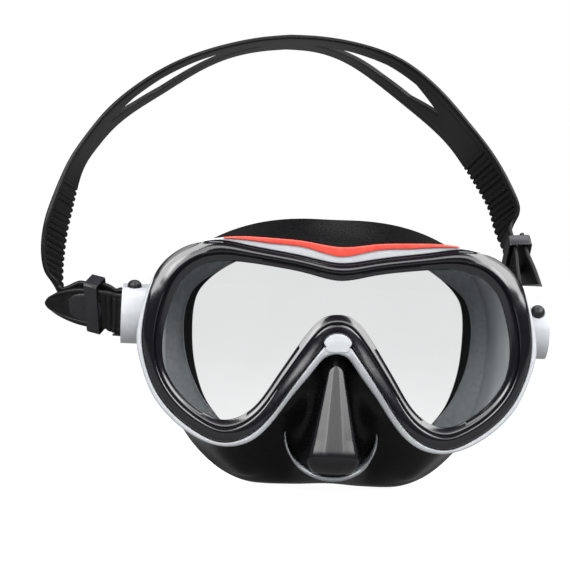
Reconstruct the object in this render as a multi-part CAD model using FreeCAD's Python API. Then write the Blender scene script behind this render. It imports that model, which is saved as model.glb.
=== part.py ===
import FreeCAD, Part
import math
import os

# Diving mask. Millimetres, +Z up, -Y is the front, +X the right of the front view.
# The origin is the centre of the skirt's face opening.

V = FreeCAD.Vector
PARTS_FOLDER = "parts"

# ---------------------------------------------------------------- driving dimensions
FRONT_Y = -58.0          # front face of the bezel
LIP = 2.6                # bezel plate in front of the lens
LENS_THICKNESS = 3.8
COLLAR = 2.6             # skirt collar clamped behind the lens
FLANGE = 2.6             # rear flange of the main frame
SKIRT_WALL = 2.0
CLIP_PROUD = 0.9         # how far the bridge clip stands in front of the bezel
CLIP_DEPTH = 1.6         # depth of its recess in the bezel

PIVOT_Y = -34.0          # lateral axis on which both side housings tilt
PIVOT_Z = 8.5
PIVOT_RADIUS = 2.5
RUNNING_GAP = 0.05       # radial clearance of every turning fit
LEFT_TILT = 5.0          # degrees, as stored
RIGHT_TILT = 47.0

HOUSING_IN = 79.0        # inner face of the side housing, measured along X
HOUSING_OUT = 90.0
HOUSING_RADIUS = 12.0    # its rounded front, and half its height
HOUSING_REAR = 14.5      # from the pivot to its rear edge
HOUSING_WALL = 1.8
PIN_X = 85.0             # buckle pin, in the housing's own directions
PIN_REAR = 9.5
PIN_RADIUS = 1.5
ROLLER_RADIUS = 2.8
BUTTON_RADIUS = 3.0
BUTTON_TRAVEL = 1.6
BUTTON_REAR = -0.3

LEFT_SWING = 76.0        # degrees that each buckle stands swung outward, as stored
RIGHT_SWING = -6.0
STRAP_THICKNESS = 2.2
STRAP_HALF = 8.6         # half the width of the ribbed strap
WRAP_RADIUS = 4.2        # middle of the strap's fold round the roller
KEEPER_LENGTH = 5.8
# Each keeper: its place from the buckle pin, the strap layers' distance from the middle
# there, half its inner height, and how far it sits high and leans on the loose strap.
LEFT_KEEPER = {"at": 17.0, "layer": 4.2, "room": 9.8, "rise": 0.35, "lean": -8.0}
RIGHT_KEEPER = {"at": 34.5, "layer": 2.45, "room": 9.3, "rise": 0.0, "lean": 0.0}
LAY_START = 8.2          # from here to LAY_END the left strap turns onto its side and rises
LAY_END = 12.2
LAY_TURN = 14.0          # degrees
LAY_LIFT = 1.6
RISE = 0.06              # the left strap's further climb for each millimetre
ARCH_THICKNESS = 2.4

# Half of the ring, from the top centre round the side to the bridge of the nose:
# the lens opening, the bezel's outer edge and the frame's outer edge, as (x, z).
RING = [
    ((0.0, 26.4), (0.0, 33.2), (0.0, 40.3)),
    ((13.0, 28.8), (13.5, 35.2), (14.0, 42.0)),
    ((26.0, 31.0), (27.0, 37.4), (27.5, 42.9)),
    ((38.0, 32.4), (40.0, 39.4), (40.5, 43.2)),
    ((49.0, 32.6), (52.0, 40.8), (52.4, 42.0)),
    ((57.0, 30.8), (60.5, 38.8), (61.2, 39.6)),
    ((62.7, 26.8), (67.0, 35.2), (67.9, 36.1)),
    ((66.8, 21.2), (72.3, 30.4), (73.3, 31.2)),
    ((69.6, 13.5), (76.6, 23.0), (77.8, 23.6)),
    ((71.6, 5.0), (79.4, 12.0), (81.3, 12.0)),
    ((72.2, -4.0), (80.3, -1.0), (83.0, -1.0)),
    ((70.8, -12.0), (78.0, -12.2), (80.4, -12.4)),
    ((66.6, -19.4), (73.3, -22.4), (75.5, -23.6)),
    ((60.8, -25.4), (66.0, -31.0), (67.7, -32.8)),
    ((54.0, -30.0), (56.6, -37.8), (57.8, -39.9)),
    ((46.8, -32.6), (46.5, -41.6), (46.3, -43.7)),
    ((39.6, -31.2), (36.6, -39.2), (35.0, -41.6)),
    ((32.0, -25.2), (27.6, -31.2), (25.4, -33.4)),
    ((25.2, -15.0), (20.3, -20.8), (17.8, -22.8)),
    ((18.6, -4.6), (13.0, -10.2), (10.4, -12.6)),
    ((12.2, 4.8), (7.2, -2.4), (5.2, -6.2)),
    ((6.0, 11.0), (3.6, 1.6), (2.6, -4.1)),
    ((0.0, 12.4), (0.0, 3.2), (0.0, -4.0)),
]

# The skirt's outer skin at the same places: a middle line and the rear rim, as (x, y, z).
SKIRT_MIDDLE = [
    (0.0, -26.0, 41.0), (13.5, -26.0, 41.8), (27.0, -26.0, 42.4), (39.5, -26.0, 41.8),
    (50.5, -25.0, 39.6), (58.5, -24.0, 36.0), (64.4, -24.0, 31.0), (68.8, -24.0, 25.0),
    (71.6, -24.0, 17.0), (72.8, -24.0, 8.0), (73.0, -24.0, -2.0), (72.4, -24.0, -11.5),
    (70.0, -24.0, -21.0), (65.4, -24.0, -31.0), (58.0, -24.0, -40.0), (49.0, -24.0, -46.0),
    (40.0, -26.0, -49.0), (31.0, -31.0, -48.0), (22.5, -38.0, -46.0), (16.0, -47.0, -45.0),
    (9.6, -58.0, -45.5), (5.0, -62.0, -46.0), (0.0, -63.0, -46.0),
]
SKIRT_REAR = [
    (0.0, -8.0, 52.8), (13.0, -8.0, 52.8), (26.0, -7.0, 51.6), (38.0, -5.0, 48.8),
    (49.0, -2.0, 44.4), (57.0, 1.0, 39.6), (63.0, 3.0, 34.0), (67.5, 5.0, 27.5),
    (70.8, 6.0, 19.5), (72.8, 7.0, 9.5), (73.2, 7.0, -1.5), (72.4, 6.0, -12.5),
    (70.6, 5.0, -23.0), (67.0, 3.0, -33.0), (62.4, 1.0, -41.0), (57.0, -1.0, -48.0),
    (49.5, -3.0, -55.0), (40.5, -5.0, -60.4), (31.0, -7.0, -63.0), (21.0, -9.0, -62.8),
    (12.0, -10.0, -62.2), (6.0, -10.0, -61.8), (0.0, -10.0, -61.6),
]
# The inner edge of the face flange, as (x, y, z).
FACE_EDGE = [
    (0.0, -4.0, 41.0), (13.0, -4.0, 40.6), (25.0, -3.5, 39.0), (35.0, -2.5, 36.0),
    (43.5, -1.0, 32.0), (49.5, 0.5, 28.0), (54.0, 2.0, 24.0), (57.4, 3.0, 19.5),
    (59.2, 4.0, 14.0), (59.8, 4.5, 7.0), (59.6, 4.5, -1.0), (58.8, 4.0, -9.0),
    (57.0, 3.0, -17.0), (54.4, 2.0, -24.5), (51.0, 0.5, -30.5), (46.0, -1.0, -36.5),
    (39.0, -2.5, -44.0), (30.5, -4.5, -50.5), (22.0, -6.5, -54.0), (15.0, -8.0, -56.0),
    (9.0, -9.0, -57.0), (4.5, -9.5, -57.2), (0.0, -9.5, -57.2),
]
NOSE_FIRST = 16          # the nose pocket takes the places from here to the last
NOSE_BRIDGE = [          # its skin under the bridge, forward of the straight wall
    (34.0, -45.8, -34.2), (25.6, -46.0, -31.6), (18.6, -46.8, -29.0), (12.4, -49.4, -25.4),
    (7.4, -53.8, -23.0), (4.0, -56.6, -21.6), (0.0, -57.4, -21.0),
]
NOSE_BASE = [            # its underside, running back to the lip
    (40.5, -14.0, -57.0), (31.0, -18.0, -59.0), (22.5, -24.0, -59.6), (16.0, -30.0, -59.6),
    (10.0, -38.0, -59.0), (5.2, -42.0, -58.6), (0.0, -43.0, -58.4),
]

# The strap's two edges from its left end over the top to its right end:
# the front edge and the rear edge, as (x, y, z).
ARCH = [
    ((-124.4, -21.0, 47.0), (-116.0, -5.5, 42.5)),
    ((-122.0, -19.0, 56.0), (-114.5, -3.0, 52.0)),
    ((-118.5, -16.0, 66.0), (-113.0, 1.0, 62.0)),
    ((-114.5, -14.0, 75.0), (-110.5, 5.0, 72.0)),
    ((-109.0, -12.0, 84.0), (-105.5, 10.0, 81.0)),
    ((-101.0, -10.0, 95.0), (-98.0, 16.0, 91.0)),
    ((-91.0, -8.0, 105.0), (-88.0, 22.0, 100.0)),
    ((-79.0, -6.0, 114.0), (-77.0, 27.0, 108.0)),
    ((-64.0, -4.0, 122.0), (-63.0, 31.0, 118.0)),
    ((-45.0, -2.0, 128.5), (-45.0, 34.0, 127.0)),
    ((-33.5, -2.0, 131.0), (-33.0, 35.0, 130.0)),
    ((-22.0, -2.0, 132.5), (-22.0, 36.0, 131.5)),
    ((-10.0, -2.0, 132.5), (-10.0, 36.0, 131.0)),
    ((8.0, -2.0, 130.5), (6.0, 34.0, 126.0)),
    ((24.0, -2.0, 126.0), (20.0, 31.0, 117.0)),
    ((37.0, -2.0, 118.5), (33.0, 28.0, 107.0)),
    ((49.0, -2.0, 108.0), (45.0, 26.0, 97.5)),
    ((58.0, -3.0, 98.0), (53.5, 23.0, 89.0)),
    ((66.0, -3.0, 89.0), (59.6, 18.0, 80.0)),
    ((74.0, -3.0, 78.0), (65.8, 13.5, 69.5)),
    ((79.4, -4.0, 68.0), (71.0, 12.0, 60.0)),
    ((81.4, -3.6, 58.6), (74.8, 11.6, 49.0)),
]
# Share of the width at which each slot starts and ends, by place along the arch.
SLOTS = {
    6: (0.34, 0.66), 7: (0.28, 0.72), 8: (0.3, 0.7), 9: (0.38, 0.62),
    13: (0.38, 0.62), 14: (0.3, 0.7), 15: (0.3, 0.7),
}
# The left strap's turn from the buckle's direction to the upward flank: top edge, lower edge.
LEFT_TURN = [
    ((-115.6, -17.4, 19.0), (-111.6, -11.4, 4.0)),
    ((-119.4, -18.6, 21.4), (-115.2, -8.6, 11.0)),
    ((-122.6, -19.6, 24.4), (-116.8, -7.4, 18.0)),
    ((-124.6, -20.4, 29.0), (-117.2, -7.0, 24.6)),
    ((-125.4, -21.0, 35.0), (-117.0, -6.8, 30.6)),
    ((-125.2, -21.0, 41.5), (-116.6, -6.2, 36.6)),
]


# ---------------------------------------------------------------- helpers
def save(name, shape):
    shape.exportStep(os.path.join(PARTS_FOLDER, name + ".step"))


def box(x, y, z):
    return Part.makeBox(x[1] - x[0], y[1] - y[0], z[1] - z[0], V(x[0], y[0], z[0]))


def rod(radius, start, length, direction):
    return Part.makeCylinder(radius, length, start, direction)


def whole(half):
    """A closed ring of points from the half at +X, which starts and ends at X = 0."""
    mirrored = [V(-p.x, p.y, p.z) for p in half[-2:0:-1]]
    return half + mirrored


def closed_curve(points):
    curve = Part.BSplineCurve()
    curve.interpolate(Points=points, PeriodicFlag=True)
    return curve.toShape()


def ring_half(share, y):
    """The half ring at depth y. Share 0 is the opening, 1 the bezel's edge, 2 the frame's."""
    first, second = (0, 1) if share <= 1 else (1, 2)
    part = share if share <= 1 else share - 1
    points = []
    for place in RING:
        a, b = place[first], place[second]
        points.append(V(a[0] + (b[0] - a[0]) * part, y, a[1] + (b[1] - a[1]) * part))
    return points


def ring_face(share, y):
    return Part.Face(Part.Wire([closed_curve(whole(ring_half(share, y)))]))


def plate(share, y_front, y_back):
    return ring_face(share, y_front).extrude(V(0, y_back - y_front, 0))


def ring(outer_share, inner_share, y_front, y_back):
    return plate(outer_share, y_front, y_back).cut(plate(inner_share, y_front, y_back))


def skinned(loops):
    """A hollow ring-like solid whose skin passes through the closed loops in turn."""
    edges = [closed_curve(loop) for loop in loops]
    faces = []
    for here, after in zip(edges, edges[1:] + edges[:1]):
        faces.append(Part.makeRuledSurface(here, after))
    shell = Part.makeShell(faces)
    shell.sewShape()
    solid = Part.makeSolid(Part.Shell(shell.Faces))
    return solid if solid.Volume > 0 else solid.reversed()


def triangle_solid(triangles):
    faces = []
    for a, b, c in triangles:
        if (b - a).cross(c - a).Length > 1e-6:
            faces.append(Part.Face(Part.makePolygon([a, b, c, a])))
    solid = Part.makeSolid(Part.makeShell(faces))
    return solid if solid.Volume > 0 else solid.reversed()


def ribbon(sections, thickness, slots=None):
    """A flat band through sections, each (edge, other edge), with optional slots."""
    slots = slots or {}
    last = len(sections) - 1
    rows = []
    for i, (edge, other) in enumerate(sections):
        before, after = sections[max(i - 1, 0)], sections[min(i + 1, last)]
        along = (after[0] + after[1]) - (before[0] + before[1])
        normal = (other - edge).cross(along).normalize() * (thickness / 2)
        low, high = slots.get(i, (0.5, 0.5))
        row = [edge + (other - edge) * share for share in (0.0, low, high, 1.0)]
        rows.append(([p + normal for p in row], [p - normal for p in row]))
    triangles = []

    def quad(a, b, c, d):
        triangles.append((a, b, c))
        triangles.append((a, c, d))

    for (top, under), (next_top, next_under) in zip(rows, rows[1:]):
        for left, right in ((0, 1), (2, 3)):
            quad(top[left], top[right], next_top[right], next_top[left])
            quad(under[left], next_under[left], next_under[right], under[right])
        for k in (0, 3):
            quad(top[k], next_top[k], next_under[k], under[k])
        if (top[1] - top[2]).Length + (next_top[1] - next_top[2]).Length > 1e-6:
            for k in (1, 2):
                quad(top[k], next_top[k], next_under[k], under[k])
    for top, under in (rows[0], rows[-1]):
        quad(top[0], top[1], under[1], under[0])
        quad(top[1], top[3], under[3], under[1])
    return triangle_solid(triangles)


# ---------------------------------------------------------------- placing the side parts
class Side:
    """Places parts drawn for the right side, untilted, with the pivot at the origin."""

    def __init__(self, name, sign, tilt, swing, keeper):
        self.name = name
        self.sign = sign
        self.tilt = tilt
        self.swing = swing
        self.keeper = keeper["at"]
        self.layer = keeper["layer"]
        self.keeper_room = keeper["room"]
        self.keeper_rise = keeper["rise"]
        self.keeper_lean = keeper["lean"]

    def housed(self, shape):
        moved = shape.copy()
        moved.rotate(V(0, 0, 0), V(1, 0, 0), self.tilt)
        moved.translate(V(0, PIVOT_Y, PIVOT_Z))
        if self.sign < 0:
            moved = moved.mirror(V(0, 0, 0), V(1, 0, 0))
        return moved

    def swung(self, shape):
        moved = shape.copy()
        moved.rotate(V(PIN_X, PIN_REAR, 0), V(0, 0, 1), -self.swing)
        return self.housed(moved)

    def housed_point(self, p):
        tilt = math.radians(self.tilt)
        y = PIVOT_Y + p.y * math.cos(tilt) - p.z * math.sin(tilt)
        z = PIVOT_Z + p.y * math.sin(tilt) + p.z * math.cos(tilt)
        return V(self.sign * p.x, y, z)

    def strap_point(self, along, inward, up):
        """A point by its way along the strap from the buckle pin, inward and up."""
        swing = math.radians(self.swing)
        x = PIN_X + along * math.sin(swing) - inward * math.cos(swing)
        y = PIN_REAR + along * math.cos(swing) + inward * math.sin(swing)
        return self.housed_point(V(x, y, up))

    def strap_section(self, along, inward, half=STRAP_HALF):
        """The strap's upper and lower edge. The left strap turns as it leaves the buckle."""
        share = min(1.0, max(0.0, (along - LAY_START) / (LAY_END - LAY_START)))
        loose = 1.0 if self.sign < 0 else 0.0
        turn = math.radians(LAY_TURN * share * loose)
        lift = loose * (LAY_LIFT * share + RISE * max(0.0, along - LAY_START))
        edges = []
        for height in (half, -half):
            across = inward * math.cos(turn) - height * math.sin(turn)
            up = lift + inward * math.sin(turn) + height * math.cos(turn)
            edges.append(self.strap_point(along, across, up))
        return edges[0], edges[1]


LEFT = Side("left", -1, LEFT_TILT, LEFT_SWING, LEFT_KEEPER)
RIGHT = Side("right", 1, RIGHT_TILT, RIGHT_SWING, RIGHT_KEEPER)

# ---------------------------------------------------------------- lens, bezel and frame
LENS_FRONT = FRONT_Y + LIP
LENS_BACK = LENS_FRONT + LENS_THICKNESS
COLLAR_BACK = LENS_BACK + COLLAR
FRAME_BACK = COLLAR_BACK + FLANGE
LENS_SHARE = 0.45        # the lens reaches this far under the bezel
NECK_SHARE = 0.35        # outside of the skirt where it leaves the frame


def make_lens():
    return plate(LENS_SHARE, LENS_FRONT, LENS_BACK)


def clip_prism(y_front, y_back):
    """The keystone outline of the bridge clip, drawn out from y_front to y_back."""
    outline = [(0, 4.4), (5.6, 0.9), (4.7, -0.5), (2.6, -3.0), (-2.6, -3.0), (-4.7, -0.5), (-5.6, 0.9)]
    points = [V(x, y_front, z) for x, z in outline]
    face = Part.Face(Part.makePolygon(points + points[:1]))
    return face.extrude(V(0, y_back - y_front, 0))


def make_bezel():
    """The bezel has a shallow recess at the bridge for the clip."""
    lip = ring(1.0, 0.0, FRONT_Y, LENS_FRONT)
    wall = ring(1.0, LENS_SHARE + 0.05, LENS_FRONT, LENS_BACK)
    return lip.fuse(wall).cut(clip_prism(FRONT_Y - 1, FRONT_Y + CLIP_DEPTH)).removeSplitter()


def make_frame():
    wall = ring(2.0, 1.04, FRONT_Y + 1.6, COLLAR_BACK)
    flange = ring(2.0, NECK_SHARE + 0.07, COLLAR_BACK, FRAME_BACK)
    frame = wall.fuse(flange)
    for sign in (-1, 1):
        near, far = sorted((sign * 75.2, sign * (HOUSING_IN - 0.2)))
        eye = rod(6.0, V(near, PIVOT_Y, PIVOT_Z), far - near, V(1, 0, 0))
        web = box((near, far), (FRAME_BACK - 0.6, PIVOT_Y), (PIVOT_Z - 6, PIVOT_Z + 6))
        hole = rod(PIVOT_RADIUS, V(near - 1, PIVOT_Y, PIVOT_Z), far - near + 2, V(1, 0, 0))
        frame = frame.fuse(eye.fuse(web)).cut(hole)
    return frame.removeSplitter()


def make_trim():
    """The strip lies on the front of the frame's top edge, from one upper corner to the other."""
    strip = ring(1.96, 1.5, FRONT_Y + 0.2, FRONT_Y + 1.5)
    keep = box((-49.0, 49.0), (FRONT_Y, FRONT_Y + 2), (20.0, 50.0))
    return strip.common(keep)


def make_bridge_clip():
    """A small keystone cap at the bridge of the nose. It sits in the bezel's recess."""
    return clip_prism(FRONT_Y - CLIP_PROUD, FRONT_Y + CLIP_DEPTH)


# ---------------------------------------------------------------- skirt
def wall_inside(loops):
    """The same loops moved inward by the wall's thickness, square to the skin."""
    moved = []
    for i, loop in enumerate(loops):
        before, after = loops[max(i - 1, 0)], loops[min(i + 1, len(loops) - 1)]
        inner = []
        for k, p in enumerate(loop):
            around = loop[(k + 1) % len(loop)] - loop[k - 1]
            along = after[k] - before[k]
            inner.append(p - around.cross(along).normalize() * SKIRT_WALL)
        moved.append(inner)
    return moved


def with_nose(half, nose):
    return half[:NOSE_FIRST] + [V(*p) for p in nose]


def make_skirt():
    neck = ring_half(NECK_SHARE, FRAME_BACK + 1.0)
    middle = [V(*p) for p in SKIRT_MIDDLE]
    rear = [V(*p) for p in SKIRT_REAR]
    near = [a + (b - a) * 0.3 for a, b in zip(neck, middle)]
    far = [a + (b - a) * 0.6 for a, b in zip(middle, rear)]
    outer = [whole(ring_half(NECK_SHARE, COLLAR_BACK)), whole(neck)]
    outer.append(whole(with_nose(near, NOSE_BRIDGE)))
    outer.append(whole(middle))
    outer.append(whole(with_nose(far, NOSE_BASE)))
    outer.append(whole(rear))
    inner = wall_inside(outer)
    inner[-1] = whole([V(*p) for p in FACE_EDGE])
    inner[0] = whole(ring_half(0.1, LENS_BACK + 0.05))
    inner[1] = whole(ring_half(0.12, FRAME_BACK + 1.0))
    collar = [whole(ring_half(0.93, LENS_BACK + 0.05)), whole(ring_half(0.93, COLLAR_BACK))]
    return skinned(collar + outer + inner[::-1])


# ---------------------------------------------------------------- side parts
def make_pivot_pin(side):
    shaft = rod(PIVOT_RADIUS, V(75.2, 0, 0), 6.9, V(1, 0, 0))
    head = rod(4.2, V(81.9, 0, 0), 1.4, V(1, 0, 0))
    pin = shaft.fuse(head).removeSplitter()
    pin.translate(V(0, PIVOT_Y, PIVOT_Z))
    return pin if side.sign > 0 else pin.mirror(V(0, 0, 0), V(1, 0, 0))


def d_block(radius, x_start, x_end, rear):
    """A block with a half-round front of that radius and a straight rear part."""
    length = x_end - x_start
    front = rod(radius, V(x_start, 0, 0), length, V(1, 0, 0))
    back = box((x_start, x_end), (0.0, rear), (-radius, radius))
    return front.fuse(back).removeSplitter()


def make_housing():
    inside = HOUSING_RADIUS - HOUSING_WALL
    body = d_block(HOUSING_RADIUS, HOUSING_IN, HOUSING_OUT, HOUSING_REAR)
    cavity = d_block(inside, HOUSING_IN + 2.7, HOUSING_OUT - 1.6, HOUSING_REAR + 1)
    mouth = box((HOUSING_IN - 1, HOUSING_OUT + 1), (3.4, HOUSING_REAR + 1), (-inside, inside))
    body = body.cut(cavity).cut(mouth)
    shelf = box((83.9, HOUSING_OUT - 1.0), (-1.6, 0.9), (-0.5, 1.0))
    pivot = rod(PIVOT_RADIUS + RUNNING_GAP, V(HOUSING_IN - 1, 0, 0), 5.0, V(1, 0, 0))
    pin = rod(PIN_RADIUS, V(PIN_X, PIN_REAR, -13), 26, V(0, 0, 1))
    button = rod(BUTTON_RADIUS + RUNNING_GAP, V(PIN_X, BUTTON_REAR, 5), 9, V(0, 0, 1))
    pawl_pin = rod(0.7, V(HOUSING_IN + 2.0, 2.3, -7.6), 8.2, V(1, 0, 0))
    return body.fuse(shelf).cut(pivot).cut(pin).cut(button).cut(pawl_pin)


def make_button():
    """A dome on a round body, with a collar that stops it inside the housing."""
    centre = V(PIN_X, BUTTON_REAR, 0)
    up = V(0, 0, 1)
    body = rod(BUTTON_RADIUS, centre + V(0, 0, 8.0), 5.0, up)
    collar = rod(3.2, centre + V(0, 0, 8.0), 1.3, up)
    dome = Part.makeCone(BUTTON_RADIUS, 1.6, 2.0, centre + V(0, 0, 13.0), up)
    stem = rod(0.6, centre + V(0, 0, 2.8), 5.4, up)
    return body.fuse(collar).fuse(dome).fuse(stem).removeSplitter()


def make_button_spring():
    """The spring's envelope at its pressed length."""
    start = V(PIN_X, BUTTON_REAR, 1.0)
    return rod(1.2, start, 5.2, V(0, 0, 1)).cut(rod(0.75, start, 5.2, V(0, 0, 1)))


def make_buckle_pin():
    return rod(PIN_RADIUS, V(PIN_X, PIN_REAR, -12), 24, V(0, 0, 1))


def make_roller():
    start = V(PIN_X, PIN_REAR, -STRAP_HALF)
    outer = rod(ROLLER_RADIUS, start, 2 * STRAP_HALF, V(0, 0, 1))
    return outer.cut(rod(PIN_RADIUS + RUNNING_GAP, start, 2 * STRAP_HALF, V(0, 0, 1)))


def make_buckle():
    """Two side plates on the pin, joined by a bar that lies between the strap's two layers."""
    plates = []
    thick = 0.9
    for z in (-10.0, 10.0 - thick):
        eye = rod(5.6, V(PIN_X, PIN_REAR, z), thick, V(0, 0, 1))
        arm = box((PIN_X - 4.6, PIN_X + 4.6), (PIN_REAR, PIN_REAR + 8.0), (z, z + thick))
        plates.append(eye.fuse(arm))
    bar = box((PIN_X - 1.1, PIN_X + 1.1), (PIN_REAR + 5.0, PIN_REAR + 7.4), (-9.5, 9.5))
    buckle = plates[0].fuse(plates[1]).fuse(bar).removeSplitter()
    return buckle.cut(rod(PIN_RADIUS + RUNNING_GAP, V(PIN_X, PIN_REAR, -11), 22, V(0, 0, 1)))


def make_pawl():
    """A lever with a toothed bar that faces the strap on the roller."""
    lever = box((84.2, 87.8), (1.9, 3.1), (-7.6, 4.6))
    boss = rod(1.5, V(84.2, 2.3, -7.6), 3.6, V(1, 0, 0))
    pawl = lever.fuse(boss)
    for z in (-3.0, 0.0, 3.0):
        pawl = pawl.fuse(box((84.2, 87.8), (3.0, 3.7), (z - 0.6, z + 0.6)))
    bore = rod(0.7 + RUNNING_GAP, V(84.0, 2.3, -7.6), 4.0, V(1, 0, 0))
    return pawl.cut(bore).removeSplitter()


def make_pawl_pin():
    return rod(0.7, V(HOUSING_IN + 2.0, 2.3, -7.6), 8.2, V(1, 0, 0))


def make_keeper(side):
    """A rectangular loop square to the strap, with room for both layers."""
    upper, lower = side.strap_section(side.keeper, 0.0)
    step = side.strap_section(side.keeper + 1.0, 0.0)
    centre = (upper + lower) * 0.5
    along = ((step[0] + step[1]) * 0.5 - centre).normalize()
    up = (upper - lower).normalize()
    inward = up.cross(along)
    up = along.cross(inward)
    lean = math.radians(side.keeper_lean)
    along, up = along * math.cos(lean) - up * math.sin(lean), up * math.cos(lean) + along * math.sin(lean)
    centre = centre + up * side.keeper_rise
    room_in = side.layer + STRAP_THICKNESS / 2 + 0.45
    wall = 1.2

    def block(half_up, half_in, half_along):
        corners = []
        for u, i in ((1, 1), (1, -1), (-1, -1), (-1, 1)):
            corners.append(centre - along * half_along + up * (u * half_up) + inward * (i * half_in))
        return Part.Face(Part.makePolygon(corners + corners[:1])).extrude(along * (2 * half_along))

    outside = block(side.keeper_room + 0.9, room_in + wall, KEEPER_LENGTH / 2)
    return outside.cut(block(side.keeper_room, room_in, KEEPER_LENGTH))


def wrap_sections(side):
    """The strap's fold round the roller, from its outer layer to its inner layer."""
    steps = 8
    sections = []
    for i in range(steps + 1):
        turn = math.pi * i / steps
        along = -WRAP_RADIUS * math.sin(turn)
        inward = -WRAP_RADIUS * math.cos(turn)
        sections.append(side.strap_section(along, inward))
    return sections


def make_left_strap_end():
    gap = LEFT.layer
    tail = [(38.0, 1.0), (36.8, 2.4), (34.5, 4.1), (31.0, 6.1), (27.0, 7.5), (22.0, 8.4)]
    sections = [LEFT.strap_section(a, -gap, half) for a, half in tail]
    sections += [LEFT.strap_section(a, -gap) for a in (14.0, 12.2, 10.2, 8.2)]
    sections += wrap_sections(LEFT)
    sections += [LEFT.strap_section(a, gap) for a in (8.2, 10.2, 12.2, 23.2, 25.0)]
    sections += [(V(*upper), V(*lower)) for upper, lower in LEFT_TURN]
    return ribbon(sections, STRAP_THICKNESS)


def make_right_strap_end():
    gap = RIGHT.layer
    tail = [(40.0, 2.3), (36.0, gap), (29.0, gap), (20.0, 3.5), (10.0, WRAP_RADIUS)]
    standing = [(10.0, WRAP_RADIUS), (20.0, 3.5), (29.0, gap), (39.0, gap), (44.0, 2.2)]
    sections = [RIGHT.strap_section(a, -i) for a, i in tail]
    sections += wrap_sections(RIGHT)
    sections += [RIGHT.strap_section(a, i) for a, i in standing]
    return ribbon(sections, STRAP_THICKNESS)


def make_arch():
    sections = [(V(*front), V(*rear)) for front, rear in ARCH]
    return ribbon(sections, ARCH_THICKNESS, SLOTS)


# ---------------------------------------------------------------- all pieces
os.makedirs(PARTS_FOLDER, exist_ok=True)
save("lens", make_lens())
save("front_bezel", make_bezel())
save("main_frame", make_frame())
save("accent_trim", make_trim())
save("bridge_clip", make_bridge_clip())
save("skirt", make_skirt())
save("strap_arch", make_arch())
save("left_strap_end", make_left_strap_end())
save("right_strap_end", make_right_strap_end())
for side in (LEFT, RIGHT):
    save(side.name + "_pivot_pin", make_pivot_pin(side))
    save(side.name + "_housing", side.housed(make_housing()))
    save(side.name + "_button", side.housed(make_button()))
    save(side.name + "_button_spring", side.housed(make_button_spring()))
    save(side.name + "_buckle_pin", side.housed(make_buckle_pin()))
    save(side.name + "_pawl", side.housed(make_pawl()))
    save(side.name + "_pawl_pin", side.housed(make_pawl_pin()))
    save(side.name + "_roller", side.swung(make_roller()))
    save(side.name + "_buckle", side.swung(make_buckle()))
    save(side.name + "_keeper", make_keeper(side))
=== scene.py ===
import math
from types import SimpleNamespace

import bmesh
import bpy
import numpy as np
from mathutils import Matrix, Vector


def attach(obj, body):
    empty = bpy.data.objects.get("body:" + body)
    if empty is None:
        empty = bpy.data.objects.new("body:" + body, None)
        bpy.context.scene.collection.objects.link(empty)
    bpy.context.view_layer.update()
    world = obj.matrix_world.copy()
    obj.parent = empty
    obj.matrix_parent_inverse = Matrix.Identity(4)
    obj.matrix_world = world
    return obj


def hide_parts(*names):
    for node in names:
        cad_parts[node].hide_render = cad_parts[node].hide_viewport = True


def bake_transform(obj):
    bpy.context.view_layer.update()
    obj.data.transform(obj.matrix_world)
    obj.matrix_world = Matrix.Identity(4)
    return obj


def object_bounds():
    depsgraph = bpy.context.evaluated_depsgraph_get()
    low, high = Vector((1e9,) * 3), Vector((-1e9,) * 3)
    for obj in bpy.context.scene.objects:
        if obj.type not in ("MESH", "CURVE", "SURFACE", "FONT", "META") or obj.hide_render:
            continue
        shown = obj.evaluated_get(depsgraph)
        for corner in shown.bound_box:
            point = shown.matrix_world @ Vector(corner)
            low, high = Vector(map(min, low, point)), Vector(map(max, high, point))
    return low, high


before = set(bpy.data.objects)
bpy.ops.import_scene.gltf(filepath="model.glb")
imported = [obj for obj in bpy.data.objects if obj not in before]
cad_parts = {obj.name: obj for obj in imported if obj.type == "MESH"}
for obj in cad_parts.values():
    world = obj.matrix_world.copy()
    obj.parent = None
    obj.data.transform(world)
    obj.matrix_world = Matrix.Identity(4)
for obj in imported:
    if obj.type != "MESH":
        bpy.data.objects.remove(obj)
cad_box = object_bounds()

# Diving mask. The lists and sizes below are in millimetres, in the part's own frame:
# +Z up, -Y the front, +X the right of the front view. "Left" is the side at -X.
MM = 0.001

# ---------------------------------------------------------------- the part's own dimensions
FRONT_Y = -58.0
LIP = 2.6
LENS_BACK = 6.4          # the depths from here on are behind FRONT_Y
COLLAR_BACK = 9.0
FRAME_BACK = 11.6
LENS_SHARE = 0.45        # the lens's edge, as a share of the way from opening to bezel edge
NECK_SHARE = 0.35        # the skirt's neck, likewise

PIVOT_Y = -34.0          # axis on which both side housings tilt
PIVOT_Z = 8.5
HOUSING_IN = 79.0        # inner face of the side housing, along X
PIN_X = 85.0             # buckle pin, in the housing's own directions
PIN_REAR = 9.5
BUTTON_REAR = -0.3
WRAP_RADIUS = 4.2        # middle of the strap's fold round the roller
STRAP_HALF = 8.6         # half the width of the ribbed strap
STRAP_THICKNESS = 2.1
KEEPER_LENGTH = 5.8
LAY_START = 8.2          # from here to LAY_END the left strap turns onto its side and rises
LAY_END = 12.2
LAY_TURN = 14.0          # degrees
LAY_LIFT = 1.6
RISE = 0.06              # the left strap's further climb for each millimetre
# Each side: its tilt and the buckle's swing in degrees, then the keeper's place from the
# buckle pin, the strap layers' distance from the middle there, half its inner height, and
# how far it sits high and leans.
LEFT = SimpleNamespace(
    name="left", sign=-1, tilt=5.0, swing=76.0, keeper=17.0, layer=4.2, room=9.8, rise=0.35, lean=-8.0)
RIGHT = SimpleNamespace(
    name="right", sign=1, tilt=47.0, swing=-6.0, keeper=34.5, layer=2.45, room=9.3, rise=0.0, lean=0.0)

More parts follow.
